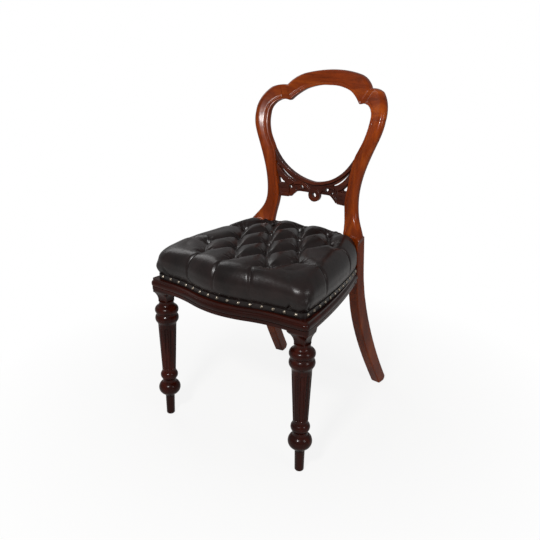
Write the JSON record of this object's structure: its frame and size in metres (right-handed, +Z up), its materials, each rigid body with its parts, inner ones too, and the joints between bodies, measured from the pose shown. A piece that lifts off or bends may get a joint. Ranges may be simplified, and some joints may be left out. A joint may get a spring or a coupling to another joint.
{
  "type": "balloon back dining chair",
  "caption": "Free-standing dining chair with a bowed oval open back, pierced carved rail, deep-buttoned leather seat, turned fluted front legs and sabre back legs.",
  "frame": {"origin": "on the floor, in the middle of the chair's width and depth", "axes": "+Z up, +Y towards the chair's back, +X to the right when seen from the front"},
  "size_m": [0.477, 0.5701, 0.9035],
  "materials": {
    "mahogany": "French polished, glossy, worn lighter on the crest",
    "beech": "planed, unpolished",
    "steel": "plain",
    "webbing": "woven jute",
    "hessian": "coarse woven",
    "horsehair": "matted",
    "leather": "soft gloss, deep buttoned",
    "twine": "waxed linen",
    "brass": "aged"
  },
  "bodies": {
    "root": {"crest_rail": "mahogany", "right_back_leg": "mahogany", "left_back_leg": "mahogany", "carved_back_rail": "mahogany", "right_front_leg": "mahogany", "left_front_leg": "mahogany", "front_moulding": "mahogany", "right_moulding": "mahogany", "left_moulding": "mahogany", "shoulder_dowels": "beech", "carved_rail_dowels": "beech", "rail_dowels": "beech", "front_seat_rail": "beech", "right_seat_rail": "beech", "left_seat_rail": "beech", "back_seat_rail": "beech", "front_right_brace": "beech", "front_left_brace": "beech", "rear_right_brace": "beech", "rear_left_brace": "beech", "brace_screws": "steel", "webbing_crosswise": "webbing", "webbing_lengthwise": "webbing", "hessian": "hessian", "first_stuffing": "horsehair", "leather_seat": "leather", "leather_banding": "leather", "rear_leather_banding": "leather", "seat_buttons": "leather", "button_twines": "twine", "brass_nails": "brass"}
  },
  "joints": []
}
